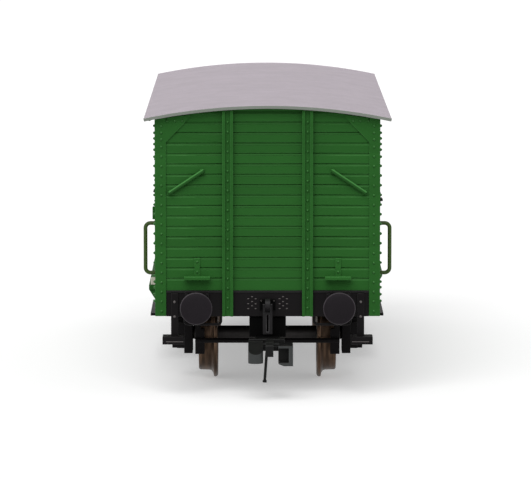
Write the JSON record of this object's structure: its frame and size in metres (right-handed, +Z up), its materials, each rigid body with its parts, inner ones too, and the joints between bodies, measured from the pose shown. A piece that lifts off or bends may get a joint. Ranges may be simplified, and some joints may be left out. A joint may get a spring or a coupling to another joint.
{
  "type": "model passenger coach",
  "caption": "Model railway coach with a planked, riveted body, arched roof, sliding side doors, sprung buffers, swinging couplers and metal wheelsets.",
  "frame": {"origin": "on the rail plane's flange bottoms, under the middle of the coach", "axes": "+X across the coach to the right seen from the front end, +Y along it from the front end to the rear end, +Z up"},
  "size_m": [0.0354, 0.1084, 0.0414],
  "materials": {
    "body_green": "satin green paint over moulded boards and rivets",
    "roof_grey": "matt light warm grey",
    "frame_black": "satin black moulded plastic",
    "coupler_black": "satin black moulded plastic",
    "buffer_black": "satin black with rubbed edges",
    "floor_steel": "rolled steel sheet",
    "bench_brown": "wood-coloured moulded plastic",
    "clear_pane": "clear moulded glazing",
    "stop_cream": "pale cream plastic",
    "handle_olive": "thin olive green paint on wire",
    "axle_steel": "turned steel",
    "tread_bronze": "turned metal with a brown toned face",
    "cup_brass": "turned brass"
  },
  "bodies": {
    "coach": {"side_wall_left": "body_green", "side_wall_right": "body_green", "end_wall_front": "body_green", "end_wall_rear": "body_green", "roof": "roof_grey", "floor_plate": "frame_black", "ballast_weight": "floor_steel", "seat_unit": "bench_brown", "window_glass": "clear_pane", "door_rail_left": "body_green", "door_rail_right": "body_green", "door_guides": "body_green", "door_stops": "body_green", "rail_end_stops": "stop_cream", "grab_handles": "handle_olive", "end_grab_rods": "body_green", "end_steps": "body_green", "sole_bars": "frame_black", "cross_bearers": "frame_black", "headstock_front": "frame_black", "headstock_rear": "frame_black", "axle_guards": "frame_black", "axle_boxes": "frame_black", "bearing_cups": "cup_brass", "leaf_springs": "frame_black", "brake_shoes": "frame_black", "brake_beams": "frame_black", "brake_cylinder": "frame_black", "air_reservoir": "frame_black", "brake_rod": "frame_black", "buffer_sleeves": "frame_black", "draw_hooks": "frame_black", "screw_links": "frame_black", "shunter_handles": "frame_black", "corner_steps": "frame_black", "door_steps": "frame_black", "coupler_mounts": "frame_black", "coupler_screws": "axle_steel"},
    "wheelset_front": {"axle_front": "axle_steel", "wheels_front": "tread_bronze", "wheel_bushes_front": "frame_black"},
    "wheelset_rear": {"axle_rear": "axle_steel", "wheels_rear": "tread_bronze", "wheel_bushes_rear": "frame_black"},
    "door_left": {"door_panel_left": "body_green", "door_fittings_left": "frame_black"},
    "door_right": {"door_panel_right": "body_green", "door_fittings_right": "frame_black"},
    "coupler_front": {"drawbar_front": "coupler_black", "coupler_head_front": "coupler_black"},
    "coupler_rear": {"drawbar_rear": "coupler_black", "coupler_head_rear": "coupler_black"},
    "hook_front": {"uncoupling_hook_front": "coupler_black"},
    "hook_rear": {"uncoupling_hook_rear": "coupler_black"},
    "buffer_front_left": {"buffer_front_left": "buffer_black"},
    "buffer_front_right": {"buffer_front_right": "buffer_black"},
    "buffer_rear_left": {"buffer_rear_left": "buffer_black"},
    "buffer_rear_right": {"buffer_rear_right": "buffer_black"}
  },
  "joints": [
    {"name": "wheelset_front_spin", "type": "hinge", "parent": "coach", "child": "wheelset_front", "pos_m": [0, -0.02585, 0.0065], "axis": [1, 0, 0], "continuous": true},
    {"name": "wheelset_rear_spin", "type": "hinge", "parent": "coach", "child": "wheelset_rear", "pos_m": [0, 0.02585, 0.0065], "axis": [1, 0, 0], "continuous": true},
    {"name": "door_left_slide", "type": "slide", "parent": "coach", "child": "door_left", "axis": [0, -1, 0], "range_m": [0, 0.0176]},
    {"name": "door_right_slide", "type": "slide", "parent": "coach", "child": "door_right", "axis": [0, 1, 0], "range_m": [0, 0.0176]},
    {"name": "coupler_front_swing", "type": "hinge", "parent": "coach", "child": "coupler_front", "pos_m": [0, -0.032, 0.0101], "axis": [0, 0, 1], "range_deg": [-12, 12], "stiffness_Nm_per_rad": 0.002},
    {"name": "coupler_rear_swing", "type": "hinge", "parent": "coach", "child": "coupler_rear", "pos_m": [0, 0.032, 0.0101], "axis": [0, 0, 1], "range_deg": [-12, 12], "stiffness_Nm_per_rad": 0.002},
    {"name": "hook_front_lift", "type": "hinge", "parent": "coupler_front", "child": "hook_front", "pos_m": [0, -0.05195, 0.00795], "axis": [-1, 0, 0], "range_deg": [0, 25]},
    {"name": "hook_rear_lift", "type": "hinge", "parent": "coupler_rear", "child": "hook_rear", "pos_m": [0, 0.05195, 0.00795], "axis": [1, 0, 0], "range_deg": [0, 25]},
    {"name": "buffer_front_left_press", "type": "slide", "parent": "coach", "child": "buffer_front_left", "axis": [0, 1, 0], "range_m": [0, 0.001], "stiffness_N_per_m": 100},
    {"name": "buffer_front_right_press", "type": "slide", "parent": "coach", "child": "buffer_front_right", "axis": [0, 1, 0], "range_m": [0, 0.001], "stiffness_N_per_m": 100},
    {"name": "buffer_rear_left_press", "type": "slide", "parent": "coach", "child": "buffer_rear_left", "axis": [0, -1, 0], "range_m": [0, 0.001], "stiffness_N_per_m": 100},
    {"name": "buffer_rear_right_press", "type": "slide", "parent": "coach", "child": "buffer_rear_right", "axis": [0, -1, 0], "range_m": [0, 0.001], "stiffness_N_per_m": 100}
  ]
}
